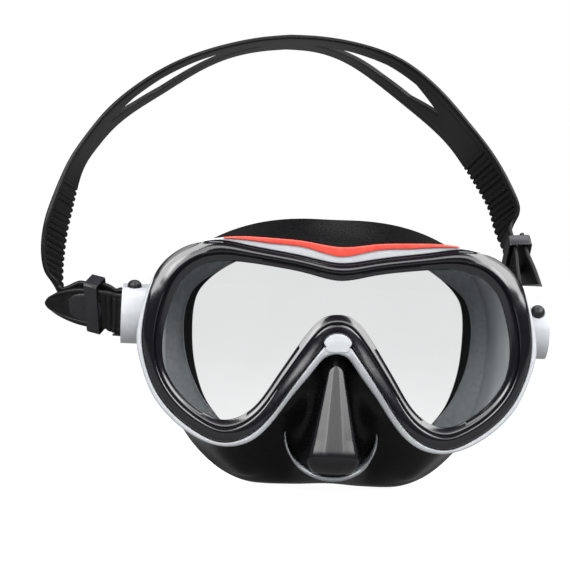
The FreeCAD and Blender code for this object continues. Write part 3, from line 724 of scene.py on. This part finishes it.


def make_skirt():
    """The shell from the collar behind the lens to the face flange and back inside.

    Returns it with the first and the last row of points of its inner wall.
    """
    neck = ring_loop(NECK_SHARE, 0.0, COLLAR_BACK)[::RING_STEPS]
    neck_rear = neck + (0.0, 3.6, 0.0)
    middle, rear = whole(SKIRT_MIDDLE), whole(SKIRT_REAR)

    def with_nose(loop, nose):
        """The loop with the nose pocket's own points in the middle."""
        return whole(np.concatenate([loop[:NOSE_FIRST], np.asarray(nose)]))

    near = with_nose(neck_rear + (middle - neck_rear) * 0.3, NOSE_BRIDGE)
    brow = with_nose(neck_rear + (near - neck_rear) * 0.5, NOSE_TOP)
    middle = with_nose(middle, NOSE_TIP)
    far = with_nose(middle + (rear - middle) * 0.6, NOSE_BASE)
    skin = np.stack([neck, neck_rear, brow, near, middle, far, rear])
    places = np.array([0.0, 0.4, 0.9, 1.4, 2.6, 3.8, 4.8])
    down = spline_weights(places, np.linspace(0.0, places[-1], SKIRT_ROWS))
    outer = np.einsum("pk,ksc->psc", down, skin)
    outer = np.einsum("rs,psc->prc", ROUND, outer)
    around = np.roll(outer, -1, axis=1) - np.roll(outer, 1, axis=1)
    along = np.gradient(outer, axis=0)
    normal = unit(np.cross(around, along))
    for _ in range(CALM_PASSES):
        normal = (np.roll(normal, 1, axis=1) + 2 * normal + np.roll(normal, -1, axis=1)) / 4
    inner = outer - normal * SKIRT_WALL
    edge, rim = ROUND @ whole(FACE_EDGE), outer[-1]
    reach = np.linalg.norm(edge - rim, axis=1)[:, None]
    lip = (0.25 + 4.0 * bump(9.5, 5.6))[:, None]
    fold = 1.0 - lip / reach
    outside, inside = [], []
    for turn in (0.12, 0.3, 0.55, 0.8, 0.96):
        swell = 2.2 * math.sin(math.pi * min(turn * 1.15, 1.0))
        outside.append(rim + (edge - rim) * turn + (0.0, swell + 0.6, 0.0))
    for turn in (0.22, 0.45, 0.7, 0.9, 0.97):
        swell = 1.6 * math.sin(math.pi * turn)
        inside.append(rim + (edge - rim) * turn * fold + (0.0, swell - 1.2, 0.0))
    seam = rim + (edge - rim) * fold
    ridge = [seam + (0.0, -1.7, 0.0), seam + (edge - rim) / reach * 0.3 + (0.0, -1.6, 0.0)]
    # The lip's rows; tint_inside paints them black as painted shade.
    shaded_lip = [
        seam + (edge - rim) / reach * np.minimum(0.45, 0.5 * lip) + (0.0, -0.5, 0.0),
        edge - (edge - rim) / reach * np.minimum(0.4, 0.3 * lip) + (0.0, -0.5, 0.0),
    ]
    collar = [ring_loop(0.93, 0.0, LENS_BACK + 0.05), ring_loop(0.93, 0.0, COLLAR_BACK - 0.05)]
    seat = [ring_loop(0.1, 0.0, LENS_BACK + 0.05), ring_loop(0.12, 0.0, FRAME_BACK + 1.0)]
    wall = list(inner[12:-6][::-1])
    back = outside + [edge] + shaded_lip[::-1]
    rows = collar + list(outer) + back + ridge[::-1] + inside[::-1] + wall + seat[::-1]
    first_inside = len(collar) + len(outer) + len(back)
    last_inside = len(rows) - 2
    faces = grid_faces(len(rows), len(ROUND), True, True)
    skirt = piece("skirt_shell", np.concatenate(rows), faces, "silicone_black", 50.0)
    on_body(skirt, "mask", "skirt")
    return skirt, first_inside, last_inside


def tint_inside(skirt, first, last):
    """The inner wall is a matt silicone painted paler than the outside as painted light, and its edge is
    painted black as painted shade.
    """
    skirt.data.materials.append(MATERIALS["skirt_inside_painted_light"])
    skirt.data.materials.append(MATERIALS["lip_painted_shade"])
    # Index 2 paints the lip's edge black as painted shade.
    inside, painted_shade_edge = 1, 2
    count = len(ROUND)
    for face in skirt.data.polygons:
        rows = [v // count for v in face.vertices]
        if min(rows) >= first and max(rows) <= last:
            face.material_index = inside
        elif min(rows) >= first - LIP_ROWS and max(rows) <= first:
            face.material_index = painted_shade_edge


def make_nose_cone():
    """The polished ridge of the nose pocket: a flat strip down its front and rounded flanks."""
    spine = [
        (-9.0, -55.0), (-14.0, -56.1), (-20.0, -57.4), (-26.0, -58.7), (-32.0, -60.0), (-38.0, -61.3),
        (-43.0, -62.35), (-47.0, -62.7), (-49.6, -61.6), (-51.8, -59.4), (-53.6, -56.4), (-54.8, -52.8),
    ]
    half = [
        (0.0, 0.0), (0.3, 0.0), (0.4, 0.02), (0.65, 0.13), (0.88, 0.25), (0.96, 0.37), (1.0, 0.7),
        (0.98, 1.5),
    ]
    section = np.array([(-x, y) for x, y in half[:0:-1]] + half)
    drops = np.array([-z for z, _ in spine])
    places = np.linspace(drops[0], drops[-1], 70)
    front = spline_weights(drops, places) @ np.array([y for _, y in spine])
    share = np.clip((places - 9.6) / 39.0, 0.0, 1.0)
    to_top = 1.0 - np.clip((places - 8.9) / 2.6, 0.0, 1.0)
    to_tip = np.clip((places - 47.0) / 9.5, 0.0, 1.0)
    width = 2.9 + 8.0 * share
    width = width * np.sqrt(np.clip(1.0 - to_top ** 2, 0.0, 1.0))
    width = width * np.sqrt(np.clip(1.0 - to_tip ** 2, 0.0, 1.0))
    width = np.maximum(width, 0.1)
    fine = resampled(section, 65)
    rows = []
    for w, y, z in zip(width, front, places):
        back = min(w, 9.0) * fine[:, 1]
        thick = min(0.5, 0.5 * w)
        outer = np.column_stack([w * fine[:, 0], y + back, np.full(len(fine), -z)])
        inner = np.column_stack([(w - thick) * fine[:, 0], y + back + thick, np.full(len(fine), -z)])
        rows.append(np.concatenate([outer, inner[::-1]]))
    faces = stack_faces(len(rows), 2 * len(fine))
    cone = piece("nose_cone", np.concatenate(rows), faces, "silicone_black", 60.0)
    cone.data.materials[0] = MATERIALS["nose_gloss"]
    on_body(cone, "mask")


def make_nose_rim():
    """The raised lip round the finger wells: up either side and under the tip of the nose."""
    half = [
        (18.6, -41.5, -34.0), (19.4, -42.0, -39.0), (18.4, -43.5, -44.4), (15.8, -46.5, -49.0),
        (12.2, -50.6, -52.2), (6.8, -53.8, -54.9), (0.0, -54.8, -56.0),
    ]
    line = np.array(half + [(-x, y, z) for x, y, z in half[-2::-1]])
    path = resampled(line, 121)
    deep = np.array([0.0, 1.0, 0.0])
    across = unit(np.cross(unit(np.gradient(path, axis=0)), deep))
    share = np.linspace(-1.0, 1.0, len(path))
    full = smooth((1.0 - np.abs(share)) / 0.25)
    thick = 0.22 + 0.2 * full + 0.5 * smooth((0.62 - np.abs(share)) / 0.25)
    section = [(-1.0, 9.0), (-1.0, 0.5), (-0.6, 0.1), (0.0, 0.0), (0.6, 0.1), (1.0, 0.5), (1.0, 9.0)]
    sink = 3.0 * (1.0 - full)
    rows = [
        path + across * (thick * aside)[:, None] + deep * (sink + back)[:, None]
        for aside, back in section
    ]
    faces = bar_faces(len(rows), len(path))
    rim = piece("nose_rim", np.concatenate(rows), faces, "silicone_black", 50.0)
    # Its pale grey is a painted highlight on the black silicone.
    rim.data.materials[0] = MATERIALS["rim_painted_highlight"]
    on_body(rim, "mask")


# ---------------------------------------------------------------- placing the side parts
def housed(side, points):
    """Points drawn for an untilted right side, with the pivot at the origin, put in place."""
    points = np.atleast_2d(np.asarray(points, float))
    tilt = math.radians(side.tilt)
    x, y, z = points.T
    rear = PIVOT_Y + y * math.cos(tilt) - z * math.sin(tilt)
    up = PIVOT_Z + y * math.sin(tilt) + z * math.cos(tilt)
    return np.column_stack([side.sign * x, rear, up])


def strap_point(side, along, inward, up):
    """A point given along, across and up the strap from the buckle pin, put in place."""
    swing = math.radians(side.swing)
    x = PIN_X + along * math.sin(swing) - inward * math.cos(swing)
    y = PIN_REAR + along * math.cos(swing) + inward * math.sin(swing)
    return housed(side, [(x, y, up)])[0]


def strap_section(side, along, inward, half=STRAP_HALF):
    """The strap's upper and lower edge. The left strap turns as it leaves the buckle."""
    share = min(1.0, max(0.0, (along - LAY_START) / (LAY_END - LAY_START)))
    loose = 1.0 if side.sign < 0 else 0.0
    turn = math.radians(LAY_TURN * share * loose)
    lift = loose * (LAY_LIFT * share + RISE * max(0.0, along - LAY_START))
    edges = []
    for height in (half, -half):
        across = inward * math.cos(turn) - height * math.sin(turn)
        up = lift + inward * math.sin(turn) + height * math.cos(turn)
        edges.append(strap_point(side, along, across, up))
    return edges[0], edges[1]


def wrap_sections(side):
    """The strap's half turn round the roller."""
    sections = []
    for turn in np.linspace(0.0, math.pi, 9):
        along = -WRAP_RADIUS * math.sin(turn)
        inward = -WRAP_RADIUS * math.cos(turn)
        sections.append(strap_section(side, along, inward))
    return sections


# ---------------------------------------------------------------- strap
RIB_PITCH = 2.7
RIB_HEIGHT = 0.8
RIB_DEPTH = 0.7
RIB_SAW = 0.045          # the ribs' notches in the rear edge, as a share of the width
SECTION_STEP = 0.5
# How the band's edge is rounded: share of the width in from it, share of the half thickness.
ROUNDING = [(0.0, 0.35), (0.012, 0.7), (0.035, 0.93), (0.07, 1.0), (0.125, 1.0), (0.14, 0.94)]


def sampled_strap(sections, slots, step):
    """Evenly spaced sections: edge, other edge, normal, length so far and slot shares."""
    sections = np.asarray(sections, float)
    knots = chords(sections.mean(axis=1))
    count = int(knots[-1] / step)
    places = np.linspace(0.0, knots[-1], count)
    weights = spline_weights(knots, places)
    edge, other = weights @ sections[:, 0], weights @ sections[:, 1]
    along = np.gradient((edge + other) / 2, axis=0)
    normal = unit(np.cross(other - edge, along))
    opened = np.array([slots.get(i, (0.5, 0.5)) for i in range(len(sections))])
    low = np.interp(places, knots, opened[:, 0])
    high = np.interp(places, knots, opened[:, 1])
    return SimpleNamespace(
        edge=edge, other=other, normal=normal, places=places, knots=knots, low=low, high=high)


def band_lines(start, end, sign, open_slot):
    """Lines across one band, from its outer edge to the slot: width shares and thickness shares."""
    shares, levels = [], []
    for inset, level in ROUNDING:
        shares.append(start + sign * inset)
        levels.append(np.full(len(start), level))
    margin = sign * ROUNDING[-1][0]
    for part in (0.03, 0.2, 0.4, 0.6, 0.8):
        shares.append(start + margin + (end - start - margin) * part)
        levels.append(np.ones(len(start)))
    shares += [end - sign * 0.03 * open_slot, end]
    levels += [np.ones(len(start)), np.where(open_slot, 0.75, 1.0)]
    return shares, levels


def strap_mesh(name, path, thick, relief, saw, ribbed, slot):
    """Two bands with rounded edges, which part where the slot is open. Face 1 or -1 is ribbed."""
    count = len(path.places)
    open_slot = path.high - path.low > 1e-4
    points, faces = [], []
    for start, end, sign in ((np.zeros(count), path.low, 1), (np.ones(count), path.high, -1)):
        shares, levels = band_lines(start, end, sign, open_slot)
        width, base = len(shares), len(points) * count
        for face in (1, -1):
            for share, level in zip(shares, levels):
                lift = thick / 2 * level * face
                if face == ribbed:
                    lift = lift + relief(share) * face
                share = share - saw * np.clip((share - 0.86) / 0.14, 0.0, 1.0)
                across = (path.other - path.edge) * share[:, None]
                points.append(path.edge + across + path.normal * lift[:, None])

        def strip(one, other, k, base=base):
            """The face between two lines of points, from section k to the next."""
            a, b = base + one * count + k, base + other * count + k
            return a, b, b + 1, a + 1

        for k in range(count - 1):
            for c in range(width - 1):
                faces.append(strip(c, c + 1, k))
                faces.append(strip(width + c, width + c + 1, k))
            faces.append(strip(0, width, k))
            if open_slot[k] or open_slot[k + 1]:
                faces.append(strip(width - 1, 2 * width - 1, k))
        for k in (0, count - 1):
            for c in range(width - 1):
                corners = (c, c + 1, width + c + 1, width + c)
                faces.append(tuple(base + corner * count + k for corner in corners))
    return piece(name, np.concatenate(points), faces, slot, 40.0)


def ribs(places, *spans):
    """Sawtooth ribs between lengths along the strap: their place (0 or 1) and their height share."""
    inside, tooth = np.zeros(len(places)), np.zeros(len(places))
    for start, end in spans:
        here = (places > start) & (places < end)
        phase = ((places - start) / RIB_PITCH) % 1.0
        shape = np.clip(np.minimum(phase / 0.25, (1.0 - phase) / 0.3), 0.0, 1.0)
        inside += here
        tooth += here * shape
    return inside, tooth


def strap_relief(places, inside, tooth, tail=0.0):
    """How far the ribbed face lies off the flat band; the first tail millimetres are a grip."""
    def height(share):
        """The same along the strap, at that share of its width."""
        plain = smooth((share - 0.11) / 0.02)
        ribbed = (RIB_HEIGHT * tooth - RIB_DEPTH) * inside * plain
        if not tail:
            return ribbed
        hollow = smooth((places - 2.0) / 1.5)
        hollow = hollow * smooth((share - 0.1) / 0.05) * smooth((0.9 - share) / 0.05)
        oval = 1.0 - ((places - tail) / 11.0) ** 2 - ((share - 0.5) / 0.34) ** 2
        oval = np.clip(oval, 0.0, 1.0)
        hollow = hollow * (1.0 - smooth(6.0 * oval)) * (places < tail)
        return ribbed - 0.5 * hollow

    return height


def make_left_strap():
    """Tail, fold round the roller, ribbed flank and half of the upper band, as one strap."""
    gap = LEFT.layer
    tail = [(38.2, 0.6), (37.6, 1.7), (36.2, 3.0), (34.0, 4.5), (31.0, 6.0), (27.0, 7.4), (22.0, 8.4)]
    sections = [strap_section(LEFT, a, -gap, half) for a, half in tail]
    sections += [strap_section(LEFT, a, -gap) for a in (14.0, 12.2, 10.2, 8.2)]
    sections += wrap_sections(LEFT)
    sections += [strap_section(LEFT, a, gap) for a in (8.2, 10.2, 12.2, 23.2, 25.0)]
    sections += LEFT_TURN
    first = len(sections)
    sections += ARCH[:ARCH_JOIN + 1]
    slots = {first + i: shares for i, shares in SLOTS.items() if i <= ARCH_JOIN}
    path = sampled_strap(sections, slots, SECTION_STEP)
    plain = path.knots[first - len(LEFT_TURN) + 1]
    inside, tooth = ribs(path.places, (path.knots[7], plain - 6.0), (plain, path.knots[first + 2]))
    relief = strap_relief(path.places, inside, tooth, path.knots[6] + 3.0)
    saw = RIB_SAW * inside * (1.0 - tooth) * (path.places > plain)
    strap = strap_mesh("left_strap", path, STRAP_THICKNESS, relief, saw, 1, "strap_black")
    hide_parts("left_strap_end", "strap_arch")
    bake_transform(strap)


def make_tail_grip():
    """The smooth half-oval pad on the left strap's tail, next to the keeper."""
    rows = []
    steps = [(1.0, 0.3), (1.0, 0.7), (0.93, 1.0), (0.8, 1.15), (0.5, 1.2), (0.05, 1.22)]
    turns = np.linspace(-0.5 * math.pi, 1.5 * math.pi, 40, endpoint=False)
    for grow, off in steps:
        for turn in turns:
            along = 20.5 + 8.0 * grow * math.cos(turn)
            height = 6.2 * grow * math.sin(turn)
            rows.append(strap_section(LEFT, along, -LEFT.layer - off, height)[0])
    faces = stack_faces(len(steps), len(turns))
    on_body(piece("left_tail_grip", rows, faces, "buckle_black", 50.0), "left_buckle")


def make_right_strap():
    """The same on the right, with its ribs on the other face."""
    gap = RIGHT.layer
    tail = [(40.0, 2.3), (36.0, gap), (29.0, gap), (20.0, 3.5), (10.0, WRAP_RADIUS)]
    standing = [(10.0, WRAP_RADIUS), (20.0, 3.5), (29.0, gap), (39.0, gap), (44.0, 2.2)]
    sections = [strap_section(RIGHT, a, -i) for a, i in tail]
    sections += wrap_sections(RIGHT)
    sections += [strap_section(RIGHT, a, i) for a, i in standing]
    first = len(sections)
    sections += ARCH[:ARCH_JOIN - 1:-1]
    last = len(ARCH) - 1
    slots = {first + last - i: shares for i, shares in SLOTS.items() if i >= ARCH_JOIN}
    path = sampled_strap(sections, slots, SECTION_STEP)
    inside, tooth = ribs(path.places, (path.knots[1], path.knots[first + 3]))
    relief = strap_relief(path.places, inside, tooth)
    saw = RIB_SAW * inside * (1.0 - tooth)
    strap = strap_mesh("right_strap", path, STRAP_THICKNESS, relief, saw, -1, "strap_black")
    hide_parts("right_strap_end")
    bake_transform(strap)


# ---------------------------------------------------------------- side parts
def make_button(side):
    """A smooth dome on a round body, with its collar and stem inside the housing."""
    profile = [
        (0.05, 2.8), (0.6, 2.8), (0.6, 8.0), (3.2, 8.0), (3.2, 9.3), (3.0, 9.3), (3.0, 12.6),
        (2.92, 13.1), (2.65, 13.7), (2.2, 14.25), (1.6, 14.65), (0.9, 14.9), (0.3, 14.98), (0.05, 15.0),
    ]
    around = np.linspace(0.0, 2 * math.pi, 32, endpoint=False)
    rows = [
        housed(side, [(PIN_X + r * math.cos(a), BUTTON_REAR + r * math.sin(a), z) for a in around])
        for r, z in profile
    ]
    faces = stack_faces(len(rows), len(around))
    cap = piece(side.name + "_button_cap", np.concatenate(rows), faces, "button_rubber", 50.0)
    on_body(cap, side.name + "_button", side.name + "_button")


def make_spring(side):
    """A wound steel spring round the button's stem."""
    coils, radius, wire = 6.5, 0.96, 0.22
    low, length = 1.25, 4.7
    turns = np.linspace(0.0, 2 * coils * math.pi, 260)
    rows = []
    for k in np.linspace(0.0, 2 * math.pi, 8, endpoint=False):
        reach = radius + wire * math.cos(k)
        rise = low + length * turns / turns[-1] + wire * math.sin(k)
        x, y = PIN_X + reach * np.cos(turns), BUTTON_REAR + reach * np.sin(turns)
        rows.append(housed(side, np.column_stack([x, y, rise])))
    faces = bar_faces(len(rows), len(turns))
    spring = piece(side.name + "_spring", np.concatenate(rows), faces, "pin_steel", 50.0)
    on_body(spring, "harness", side.name + "_button_spring")


KEEPER_WALL = 0.8
EASE = 0.35              # easing of the keeper's edges
LEFT_SLANT = 0.24        # how far the left keeper shifts along the strap for each millimetre up


def rounded(half_up, half_in, radius):
    """A rounded rectangle of (up, inward) points."""
    turns = np.radians(np.linspace(0.0, 90.0, 6))
    corner = np.column_stack([np.cos(turns), np.sin(turns)]) * radius
    points = []
    for u, i in ((1, 1), (-1, 1), (-1, -1), (1, -1)):
        arc = corner if u * i > 0 else corner[::-1]
        points.append(arc * (u, i) + (u * (half_up - radius), i * (half_in - radius)))
    return np.concatenate(points)


def make_keeper(side):
    """A loop with rounded corners round both layers; the left one is slanted across them."""
    upper, lower = strap_section(side, side.keeper, 0.0)
    after = strap_section(side, side.keeper + 1.0, 0.0)
    centre = (upper + lower) / 2
    along = unit((after[0] + after[1]) / 2 - centre)
    inward = np.cross(unit(upper - lower), along)
    up = np.cross(along, inward)
    lean = math.radians(side.lean)
    cos, sin = math.cos(lean), math.sin(lean)
    along, up = along * cos - up * sin, up * cos + along * sin
    centre = centre + up * side.rise
    slant = up + along * (LEFT_SLANT if side.sign < 0 else 0.0)
    room_in = side.layer + 1.95
    end = KEEPER_LENGTH / 2
    outer = [(-EASE, -end), (-0.1, 0.3 * EASE - end), (0.0, EASE - end)]
    outer += [(grow, -place) for grow, place in reversed(outer)]
    inner = [(EASE, end), (0.0, end - EASE), (0.0, EASE - end), (EASE, -end)]
    skins = [(side.room + 0.9, room_in + KEEPER_WALL, 1.4, outer), (side.room, room_in, 0.4, inner)]
    rows = []
    for half_up, half_in, radius, steps in skins:
        for grow, place in steps:
            loop = rounded(half_up + grow, half_in + grow, radius + grow)
            rows.append(centre + along * place + loop[:, :1] * slant + loop[:, 1:] * inward)
    faces = grid_faces(len(rows), len(rows[0]), True, True)
    loop = piece(side.name + "_keeper_loop", np.concatenate(rows), faces, "buckle_black", 40.0)
    on_body(loop, side.name + "_keeper", side.name + "_keeper")


def make_side(side):
    """Everything from the pivot to the keeper on one side, but for the strap."""
    own = side.name + "_"
    refined(side, "housing", "housing_shell", "frame_white", "harness", 0.6)
    refined(side, "pivot_pin", "pivot_rivet", "pin_steel", "mask", 0.3)
    make_button(side)
    make_spring(side)
    refined(side, "buckle_pin", "buckle_axle", "pin_steel", "harness", 0.15)
    refined(side, "pawl", "pawl_lever", "buckle_black", own + "pawl", 0.15)
    refined(side, "pawl_pin", "pawl_axle", "pin_steel", "harness", 0.1)
    refined(side, "roller", "strap_roller", "buckle_black", own + "roller", 0.2)
    refined(side, "buckle", "buckle_frame", "buckle_black", own + "buckle", 0.25)
    make_keeper(side)


# ---------------------------------------------------------------- the scene
make_camera()
make_studio()
make_floor(floor_material())
make_lens()
make_bezel()
make_frame()
make_frame_arms()
make_trim()
make_clip()
tint_inside(*make_skirt())
make_nose_cone()
make_nose_rim()
make_left_strap()
make_tail_grip()
make_right_strap()
for each in (LEFT, RIGHT):
    make_side(each)
